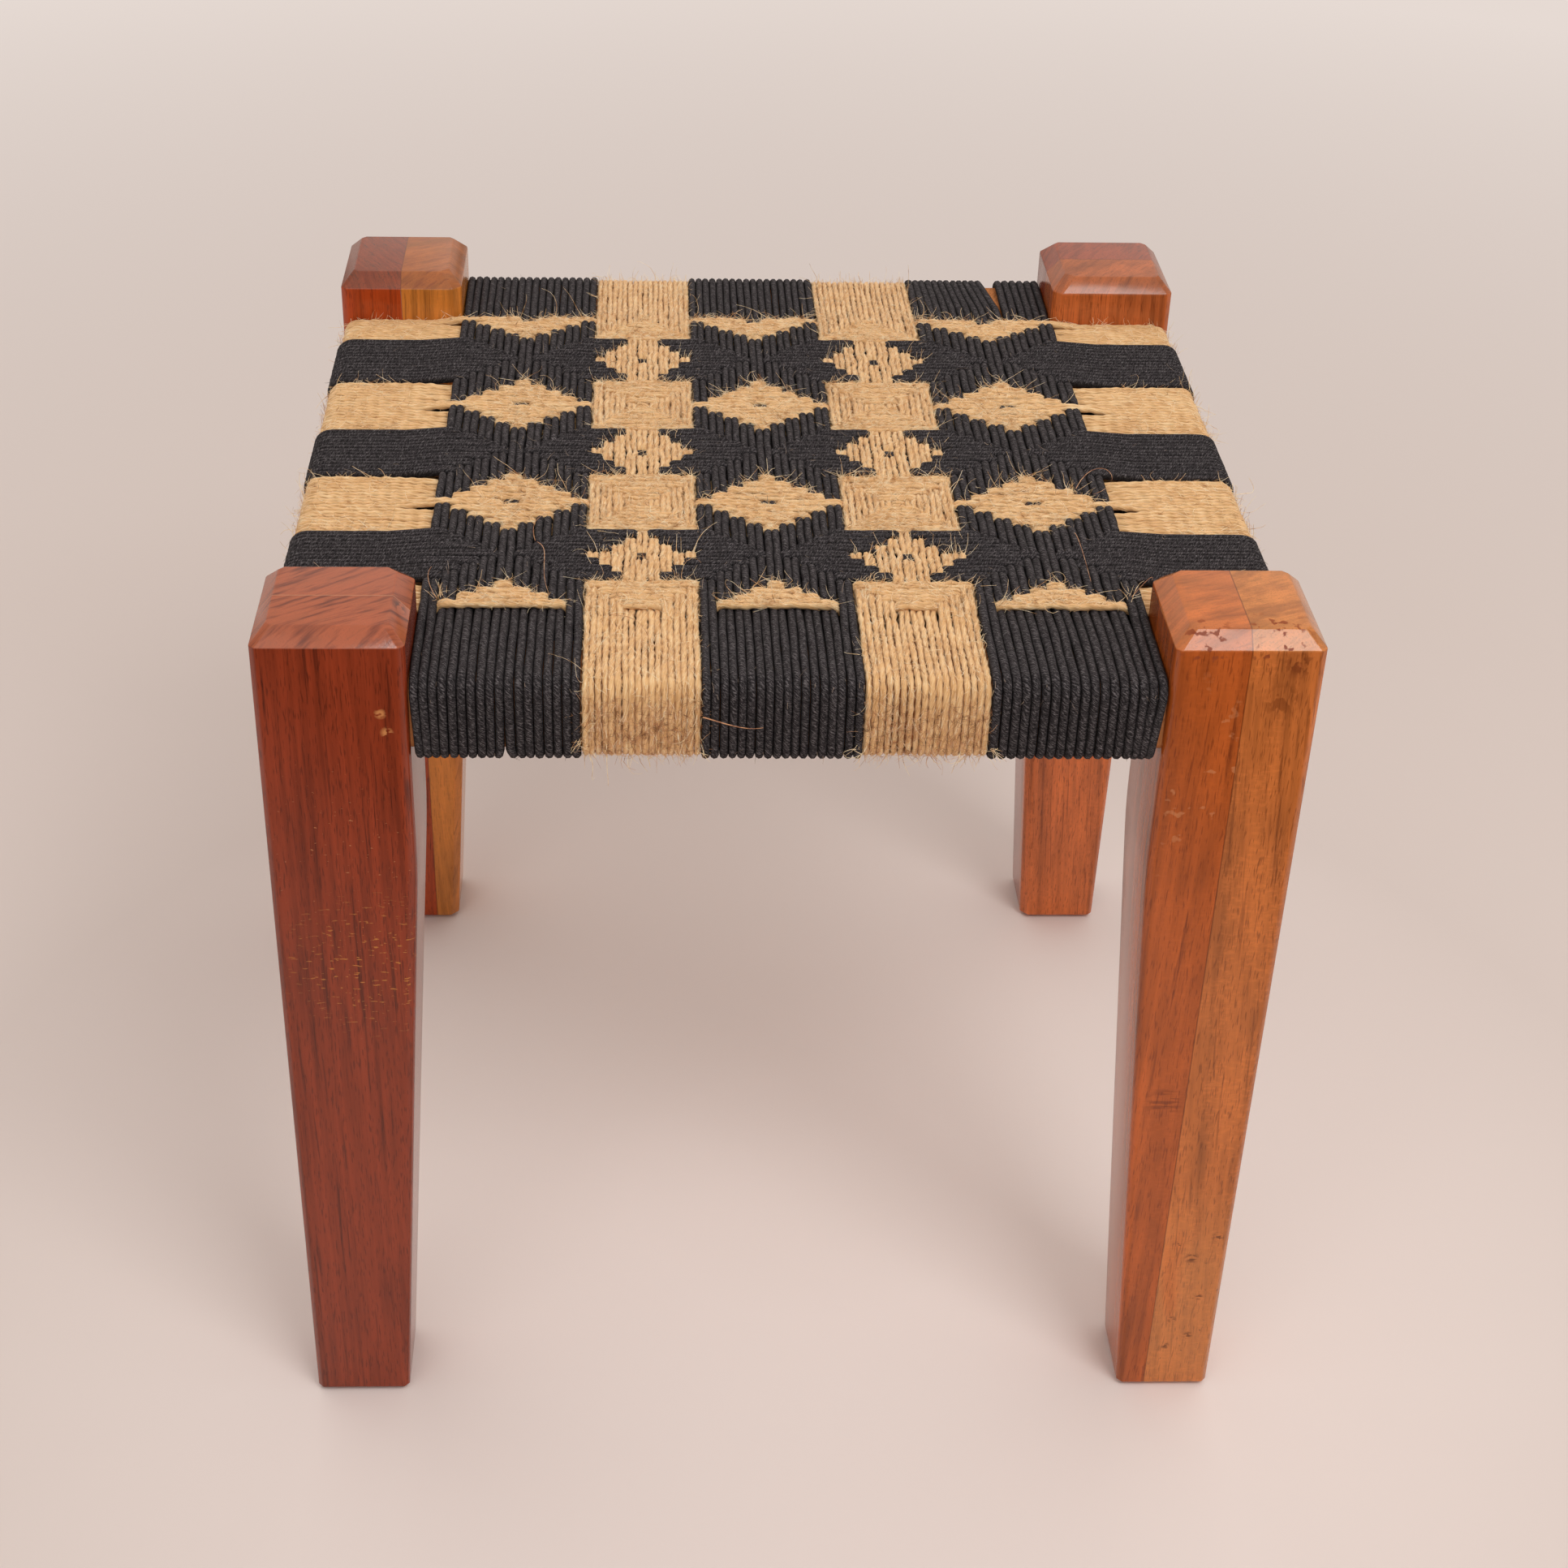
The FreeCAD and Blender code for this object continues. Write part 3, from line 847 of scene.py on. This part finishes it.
def grown_colour(tree, turned, board):
    """The colour of the grain: bands, streaks and patches, some cross figure, veins and pores."""
    bands = grain_noise(tree, turned, COLOUR_BANDS, roughness=0.55)
    streaks = grain_noise(tree, turned, STREAKS, detail=3.0, roughness=0.6)
    patches = grain_noise(tree, turned, PATCHES)
    mixed = 0.0
    for noise, share in ((bands, board["bands"]), (streaks, 1 - board["bands"] - board["patches"]),
                         (patches, board["patches"])):
        mixed = add_node(tree, "ShaderNodeMath", {0: noise, 1: share, 2: mixed},
                         operation="MULTIPLY_ADD")
    colour = add_node(tree, "ShaderNodeValToRGB", {"Fac": mixed}, (
        (0.36, board["colour"], 1 - board["contrast"]),
        (0.48, board["colour"]),
        (0.62, board["colour"], 1 + 0.9 * board["contrast"])))
    figure = grain_noise(tree, turned, CROSS_FIGURE)
    veins = grain_noise(tree, turned, VEINS, roughness=0.6)
    pores = grain_noise(tree, turned, PORES, detail=1.0)
    figure, in_patches, veins, pores = [
        add_node(tree, "ShaderNodeMapRange", {"Value": noise, "From Min": low, "From Max": high})
        for noise, low, high in ((figure, 0.48, 0.64), (patches, 0.42, 0.55), (veins, 0.60, 0.68),
                                 (pores, 0.58, 0.68))]
    pale, dark = linear(board["colour"], 1.7), linear(board["vein_colour"])
    colour = laid_over(tree, colour, pale, in_patches, board["figure"], figure)
    colour = laid_over(tree, colour, dark, veins, board["veins"])
    return laid_over(tree, colour, dark, pores, board["pores"])


def end_grain_and_lit_top(tree, turned, height, board, colour):
    """The colour, with its growth rings and its end grain above the bevel of the top; a lighter end
    grain is partly painted light from above.
    """
    on_end = add_node(tree, "ShaderNodeMapRange", {
        "Value": height, "From Min": BEVEL_LEVEL - BEVEL_BLEND, "From Max": BEVEL_LEVEL + BEVEL_BLEND})
    rings = grain_noise(tree, turned, (board["ring_width"], *END_RINGS), detail=3.0, roughness=0.6)
    rings = add_node(tree, "ShaderNodeMapRange", {"Value": rings, "From Min": 0.48, "From Max": 0.66})
    # partly painted light: where the end grain colour is lighter than the board's, it lightens the top
    # as light from above would
    colour = laid_over(tree, colour, linear(board["end_grain_and_top_light_colour"]), on_end, board["end"])
    return laid_over(tree, colour, linear(board["colour"], 0.4), on_end, board["rings_shown"], rings)


def glue_line_colour(tree, place, glue_place, board, colour):
    """The colour, with a thin line of glue at the glued face. place is measured across the board."""
    away = add_node(tree, "ShaderNodeMath", {0: place, 1: glue_place}, operation="SUBTRACT")
    away = add_node(tree, "ShaderNodeMath", {0: away}, operation="ABSOLUTE")
    line = add_node(tree, "ShaderNodeMapRange", {
        "Value": away, "From Min": GLUE_LINE[0], "From Max": GLUE_LINE[1]})
    return laid_over(tree, colour, linear(board["glue_colour"]), line, board["glue"])


def worn_colour(tree, place, marks, colour):
    """The colour and the varnish, as (colour, coat), with the board's worn and stained places."""
    coat = 1.0
    for worn in marks:
        scaled = add_node(tree, "ShaderNodeMapping", {
            "Vector": place, "Scale": [1 / length for length in worn["size"]]})
        noise = add_node(tree, "ShaderNodeTexNoise", {"Vector": scaled, "Scale": 1.0, "Detail": 2.0})
        blotch = add_node(tree, "ShaderNodeMapRange", {
            "Value": noise, "From Min": worn["level"], "From Max": worn["level"] + BLOTCH_EDGE})
        away = add_node(tree, "ShaderNodeVectorMath", {0: place, 1: worn["place"]},
                        operation="DISTANCE").outputs["Value"]
        near = add_node(tree, "ShaderNodeMapRange", {
            "Value": away, "From Min": worn["reach"], "From Max": worn["reach"] * MARK_CORE_SHARE})
        mask = add_node(tree, "ShaderNodeMath", {0: blotch, 1: near}, operation="MULTIPLY")
        colour = laid_over(tree, colour, linear(worn["colour"]), mask, worn["strength"])
        coat = add_node(tree, "ShaderNodeMath", {0: mask, 1: -worn["strength"] * worn["bare"], 2: coat},
                        operation="MULTIPLY_ADD")
    return colour, coat


def wood_material(name, board, glue_face=None):
    """Oiled and varnished hardwood, hand planed: a satin skin over straight, streaky grain.

    glue_face is (axis, place) of the board's glued face, where the glue line shows.
    """
    material, tree, shader = new_material(name, {
        "Roughness": 0.5, "Specular IOR Level": 0.0, "Coat Weight": 1.0, "Coat IOR": 1.46,
        "Coat Roughness": 0.15})
    place = add_node(tree, "ShaderNodeTexCoord").outputs["Object"]
    turned = add_node(tree, "ShaderNodeMapping", {
        "Vector": place, "Location": board["start"],
        "Rotation": (board["slope"], 0.0, math.radians(board["rings"]))})
    colour = grown_colour(tree, turned, board)
    if glue_face:
        axis, glue_place = glue_face
        sides = add_node(tree, "ShaderNodeSeparateXYZ", {"Vector": place}).outputs
        colour = end_grain_and_lit_top(tree, turned, sides["Z"], board, colour)
        colour = glue_line_colour(tree, sides[axis], glue_place, board, colour)
    if board["marks"]:
        colour, coat = worn_colour(tree, place, board["marks"], colour)
        tree.links.new(coat.outputs[0], shader.inputs["Coat Weight"])
    tree.links.new(colour, shader.inputs["Base Color"])
    uneven = grain_noise(tree, turned, PLANE_MARKS)
    bump = add_node(tree, "ShaderNodeBump", {
        "Height": uneven, "Strength": 0.25, "Distance": 0.12 * mm}).outputs["Normal"]
    tree.links.new(bump, shader.inputs["Normal"])
    tree.links.new(bump, shader.inputs["Coat Normal"])
    return material


def mark(x, y, z, reach, size, level, colour, strength=1.0, bare=0.8):
    """A worn or stained place on a board, in mm: blotches of a size, within a reach of a point.

    level is how high the noise is where a blotch begins, and bare is how much varnish is gone.
    """
    return dict(place=(x * mm, y * mm, z * mm), reach=reach * mm, size=[length * mm for length in size],
                level=level, colour=colour, strength=strength, bare=bare)


# The boards. rings is the angle in plan at which the growth rings cross the leg, slope is how far the
# grain runs out, and end is how strongly the colour of the end grain shows, which where lighter than
# the board is partly painted light on the top
RED = dict(colour="#85341a", end_grain_and_top_light_colour="#c0693f", end=0.3, vein_colour="#43190d", veins=0.6,
           pores=0.5, bands=0.2, patches=0.3, figure=0.0, contrast=0.32, rings_shown=0.45,
           ring_width=3.3 * mm, glue=0.4, glue_colour="#5c2a16", marks=())
RED_FRONT = dict(RED, slot="wood_red", end=0.5, rings_shown=0.75, glue=0.35, glue_colour="#d09a70")
ORANGE = dict(colour="#a7511f", end_grain_and_top_light_colour="#e78d45", end=0.3, vein_colour="#5c240e", veins=0.45,
              pores=0.45, bands=0.4, patches=0.3, figure=0.15, contrast=0.48, rings_shown=0.4,
              ring_width=6 * mm, glue=0.6, glue_colour="#4a1d0c", marks=())
TAN = dict(colour="#b5652f", end_grain_and_top_light_colour="#e49c4f", end=0.3, vein_colour="#5e2c12", veins=0.4,
           pores=0.5, bands=0.3, patches=0.3, figure=0.3, contrast=0.4, rings_shown=0.5,
           ring_width=7 * mm, glue=0.6, glue_colour="#5a2a10", marks=())
# Dark flecks low on the front right leg, as (x, z, reach) in mm
FLECKS = ((202.1, 98.3, 2.6), (210.1, 89.5, 4.2), (221.7, 103.6, 3.6), (205.1, 47.2, 2.8),
          (214.3, 36.3, 3.0), (203.5, 29.0, 2.6), (216.9, 62.9, 2.4))
BOARDS = {
    "leg_front_left_outer_board": dict(RED_FRONT, rings=58, slope=0.01, marks=(
        mark(-186, -228, 272, 46, (4.2, 4.2, 1.2), 0.645, "#b8763e"),
        mark(-194, -228, 330, 60, (3.0, 3.0, 1.2), 0.68, "#b0704a"),
        mark(-164.8, -199.5, 444, 6, (4, 8, 4), 0.40, "#2c1410", 0.9, 0.0),
        mark(-174.4, -228, 405.7, 3.0, (5, 5, 3), 0.42, "#c07f4c"),
        mark(-172, -228, 396.2, 3.2, (5, 5, 3), 0.42, "#c07f4c"))),
    "leg_front_left_inner_board": dict(RED_FRONT, rings=52, slope=0.02),
    "leg_front_right_outer_board": dict(TAN, slot="wood_tan", rings=65, slope=0.03, marks=(
        mark(212, -228, 58, 60, (3.0, 3.0, 3.0), 0.665, "#6b3a1e", 0.9, 0.2),
        mark(211, -228, 413, 10, (4, 4, 6), 0.48, "#7a3d18", 0.6, 0.1),
        mark(216, -228, 431, 8, (4, 4, 6), 0.48, "#6a3014", 0.7, 0.1),
        mark(206, -224, 442, 20, (4, 4, 4), 0.585, "#8a4428"),
        mark(205, -228, 50, 90, (30, 30, 150), 0.30, "#d59a5e", 0.2, 0.0),
        *(mark(x, -228, z, reach, (4, 4, 2.2), 0.47, "#6b3a1e", 0.85, 0.2)
          for x, z, reach in FLECKS))),
    "leg_front_right_inner_board": dict(ORANGE, slot="wood_orange", rings=70, slope=-0.015, marks=(
        mark(178, -228, 372, 60, (7, 7, 6), 0.66, "#cf8f60", 0.4, 0.5),
        mark(176, -224, 441, 16, (4, 4, 4), 0.585, "#8a4428"),
        mark(185, -228, 190, 11, (14, 14, 2.2), 0.50, "#5c2410", 0.5, 0.0))),
    "leg_rear_right_outer_board": dict(
        RED, slot="wood_red", rings=30, slope=0.01, colour="#8e3a1b", end=0.15),
    "leg_rear_right_inner_board": dict(
        ORANGE, slot="wood_orange", rings=40, slope=0.02, colour="#ba6130", end=0.4,
        end_grain_and_top_light_colour="#8a4916"),
    "leg_rear_left_outer_board": dict(
        RED, slot="wood_red", rings=-30, slope=0.01, colour="#a84117", end=0.5, end_grain_and_top_light_colour="#4b3420"),
    "leg_rear_left_inner_board": dict(
        TAN, slot="wood_golden", rings=60, slope=-0.02, colour="#c77932", end=0.5,
        end_grain_and_top_light_colour="#742618", figure=0.1, pores=0.25),
}
SAWN_RAIL = dict(TAN, rings=20, slope=0.0, colour="#b47448", start=(3.1, 1.7, 0.4))


# The pieces

def make_seat():
    """Every band of cords, each one long cord wound round its two rails, and the loose fibres."""
    source = random.Random(11)
    hairs = np.random.default_rng(7)
    rubbed = np.random.default_rng(23)
    materials = {True: jute_material(), False: cotton_material()}
    half_gloss = {"Roughness": 0.4, "Specular IOR Level": 0.6}
    straw = fibre_material("loose_jute_fibre", STRAW_AND_SHINE, FIBRE_PATCH_SCALE, 2.0, half_gloss)
    copper_and_shade = fibre_material("brown_jute_fibre_and_shade", COPPER_AND_SHADE, FIBRE_PATCH_SCALE, 2.0, half_gloss)
    pale = fibre_material("pale_lint", PALE_LINT, LINT_PATCH_SCALE, 1.0, {"Roughness": 0.8})
    fallen = []
    matted = []
    for band in LENGTHWISE_BANDS + CROSSWISE_BANDS:
        mesh, centres = band_mesh(band, band_route(band, source))
        mesh.materials.append(materials[band.jute])
        piece = show(bpy.data.objects.new(band.name + "_cords", mesh))
        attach(piece, "root")
        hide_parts(band.name)
        if band.jute:
            bundles = [loose_fibres(band, centres, hairs, **kind)
                       for kind in (FUZZ, STRAYS, CURLS, LYING)]
            matted.append(matted_fibres(band, centres, rubbed))
            fibre_piece(band.name + "_fibres", bundles, straw)
        else:
            fallen.append(loose_fibres(band, centres, hairs, **LINT))
    fibre_piece("seat_cotton_lint", fallen, pale)
    # the rubbed fibres' brown is also painted shade, low on the wraps
    fibre_piece("seat_rubbed_fibres_and_shade", matted, copper_and_shade)
    long_ones = [long_fibre(points, LONG_FIBRE_RADIUS) for points in LONG_FIBRES]
    long_ones.append(long_fibre(FRONT_FIBRE, FRONT_FIBRE_RADIUS))
    fibre_piece("seat_long_fibres", long_ones, copper_and_shade)
    tufts = [tuft(spot, outward, count, hairs) for spot, outward, count in TUFTS]
    fibre_piece("seat_fibre_tufts", tufts, straw)


def glued_face(node):
    """(axis, place) of the face at which a board is glued to the other board of its leg."""
    other = node.replace("outer", "inner") if "outer" in node else node.replace("inner", "outer")
    low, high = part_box(node)
    other_low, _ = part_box(other)
    axis = 1 if high.y - low.y < high.x - low.x else 0
    return axis, high[axis] if abs(high[axis] - other_low[axis]) < mm else low[axis]


def leg_board(node, material, glue_face):
    """One board of a leg with its arrises eased by hand. At the glued face they stay sharp.

    The inner arris of the front left leg is worn round.
    """
    work = bmesh.new()
    work.from_mesh(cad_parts[node].data)
    bmesh.ops.remove_doubles(work, verts=work.verts, dist=0.01 * mm)
    bmesh.ops.dissolve_limit(work, angle_limit=FLAT_ANGLE, verts=work.verts, edges=work.edges)
    axis, glue_place = glue_face
    eased = work.edges.layers.float.new("bevel_weight_edge")
    for edge in work.edges:
        if edge.calc_face_angle(0) < SHARP_ANGLE:
            continue
        on_glue = all(abs(corner.co[axis] - glue_place) < 0.1 * mm for corner in edge.verts)
        in_mortise = all(RAIL_BOTTOM < corner.co.z < RAIL_TOP for corner in edge.verts)
        if on_glue or in_mortise:
            edge.smooth = False
            continue
        first, second = (corner.co for corner in edge.verts)
        upright = abs(first.z - second.z) > 0.9 * edge.calc_length()
        edge[eased] = UPRIGHT_EASING if upright else TOP_EASING
        if upright and node == ROUNDED_BOARD and (first.x + second.x) / 2 > ROUNDED_FROM:
            edge[eased] = 1.0
    for face in work.faces:
        face.smooth = True
    mesh = bpy.data.meshes.new(node + "_varnished")
    work.to_mesh(mesh)
    work.free()
    mesh.materials.append(material)
    piece = show(bpy.data.objects.new(node + "_varnished", mesh))
    easing = piece.modifiers.new("eased_arrises", "BEVEL")
    easing.width = ROUNDED_ARRIS
    easing.segments = ARRIS_SEGMENTS
    easing.limit_method = "WEIGHT"
    easing.harden_normals = True
    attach(piece, "root")
    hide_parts(node)
    return piece


def make_legs():
    """The eight boards of the legs, each with its own colour and grain."""
    for number, (node, board) in enumerate(BOARDS.items()):
        glue_face = glued_face(node)
        board = dict(board, start=BOARD_STEP * number)
        material = wood_material(node + "_wood", board, glue_face)
        leg_board(node, material, glue_face)


def make_rails():
    """The rails keep their own shape. Their sawn wood shows only where the cords leave it bare."""
    material = wood_material("rail_wood", SAWN_RAIL)
    material.node_tree.nodes["Principled BSDF"].inputs["Coat Weight"].default_value = 0.0
    for name in ("front", "rear", "left", "right"):
        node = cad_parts["rail_" + name]
        node.data.materials.clear()
        node.data.materials.append(material)


# The studio

def make_floor():
    """A plain pale cloth on the floor, with a painted pool of light under the stool, which fades into
    the pale room far from the stool.
    """
    material, tree, shader = new_material("pale_floor", {"Roughness": 0.9, "Specular IOR Level": 0.2})
    place = add_node(tree, "ShaderNodeTexCoord").outputs["Object"]
    # painted light: the cloth is made lighter near the stool, as a pool of light under it
    away = add_node(tree, "ShaderNodeVectorMath", {0: place, 1: PAINTED_LIGHT_POOL_CENTRE},
                    operation="DISTANCE").outputs["Value"]
    lighter = add_node(tree, "ShaderNodeMapRange", {
        "Value": away, "From Min": PAINTED_LIGHT_POOL_REACH[0], "From Max": PAINTED_LIGHT_POOL_REACH[1]})
    cloth = laid_over(tree, linear(CLOTH), linear(PAINTED_LIGHT_POOL_COLOUR), lighter)
    tree.links.new(cloth, shader.inputs["Base Color"])
    rays = add_node(tree, "ShaderNodeLightPath").outputs
    room = add_node(tree, "ShaderNodeEmission", {"Color": linear(PALE)})
    dim = add_node(tree, "ShaderNodeEmission", {"Color": linear(DIM), "Strength": DIM_STRENGTH})
    distance = add_node(tree, "ShaderNodeVectorMath", {0: place}, operation="LENGTH").outputs["Value"]
    front = add_node(tree, "ShaderNodeSeparateXYZ", {"Vector": place}).outputs["Y"]
    surface = shader
    for value, reach, ray, over in ((distance, FLOOR_FADE, "Is Camera Ray", room),
                                    (front, DIM_FLOOR, "Is Glossy Ray", dim)):
        share = add_node(tree, "ShaderNodeMapRange", {
            "Value": value, "From Min": reach[0], "From Max": reach[1]})
        factor = add_node(tree, "ShaderNodeMath", {0: share, 1: rays[ray]}, operation="MULTIPLY")
        surface = add_node(tree, "ShaderNodeMixShader", {0: factor, 1: surface, 2: over})
    tree.links.new(surface.outputs[0], tree.nodes["Material Output"].inputs["Surface"])
    work = bmesh.new()
    bmesh.ops.create_circle(work, cap_ends=True, segments=96, radius=FLOOR_RADIUS)
    mesh = bpy.data.meshes.new("floor")
    work.to_mesh(mesh)
    work.free()
    mesh.materials.append(material)
    show(bpy.data.objects.new("floor", mesh))


def make_world():
    """A pale room, brighter behind the stool."""
    world = bpy.data.worlds.new("pale_room")
    bpy.context.scene.world = world
    world.use_nodes = True
    tree = world.node_tree
    direction = add_node(tree, "ShaderNodeTexCoord").outputs["Generated"]
    sides = add_node(tree, "ShaderNodeSeparateXYZ", {"Vector": direction}).outputs
    behind = add_node(tree, "ShaderNodeMapRange", {
        "Value": sides["Y"], "From Min": ROOM_TURN[0], "From Max": ROOM_TURN[1],
        "To Min": ROOM_STRENGTHS[0], "To Max": ROOM_STRENGTHS[1]})
    upper = add_node(tree, "ShaderNodeMapRange", {
        "Value": sides["Z"], "From Min": HORIZON[0], "From Max": HORIZON[1]})
    room = add_node(tree, "ShaderNodeBackground", {"Color": linear(ROOM), "Strength": behind})
    seen = add_node(tree, "ShaderNodeBackground", {"Color": linear(PALE)})
    dim = add_node(tree, "ShaderNodeBackground", {"Color": linear(DIM), "Strength": DIM_STRENGTH})
    rays = add_node(tree, "ShaderNodeLightPath").outputs
    reflected = add_node(tree, "ShaderNodeMixShader", {0: upper, 1: dim, 2: seen})
    glossy = add_node(tree, "ShaderNodeMixShader", {0: rays["Is Glossy Ray"], 1: room, 2: reflected})
    camera = add_node(tree, "ShaderNodeMixShader", {0: rays["Is Camera Ray"], 1: glossy, 2: seen})
    tree.links.new(camera.outputs[0], tree.nodes["World Output"].inputs["Surface"])


def add_light(name, azimuth, elevation, size, power):
    """A soft square light aimed at the seat. Azimuth 0 is in front, 90 at the right."""
    around, up = math.radians(azimuth), math.radians(elevation)
    away = Vector((math.sin(around) * math.cos(up), -math.cos(around) * math.cos(up), math.sin(up)))
    data = bpy.data.lights.new(name, "AREA")
    data.shape = "SQUARE"
    data.size = size
    data.energy = power
    lamp = show(bpy.data.objects.new(name, data))
    lamp.location = Vector((0, 0, RAIL_TOP / 2)) + away * LAMP_DISTANCE
    lamp.rotation_euler = away.to_track_quat("Z", "Y").to_euler()


def make_studio():
    """Soft lights at the front right and front left and one overhead, in a pale room."""
    make_floor()
    make_world()
    add_light("key", azimuth=30, elevation=50, size=1.3, power=32)
    add_light("fill", azimuth=-20, elevation=30, size=2.4, power=16)
    add_light("overhead", azimuth=0, elevation=86, size=5.0, power=40)
    bpy.context.scene.view_settings.view_transform = "Standard"


def make_camera():
    """The photograph's viewpoint: a long lens looking down at the front of the stool."""
    data = bpy.data.cameras.new("photo_view")
    data.sensor_width = SENSOR_WIDTH
    data.lens = SENSOR_WIDTH * FOCAL_PIXELS / PHOTO_SIZE
    data.shift_x = (PHOTO_SIZE / 2 - AXIS_PIXELS[0]) / PHOTO_SIZE
    data.shift_y = (AXIS_PIXELS[1] - PHOTO_SIZE / 2) / PHOTO_SIZE
    camera = show(bpy.data.objects.new("photo_view", data))
    camera.location = CAMERA_PLACE
    camera.rotation_euler = CAMERA_TURN
    bpy.context.scene.camera = camera


make_seat()
make_legs()
make_rails()
make_studio()
make_camera()
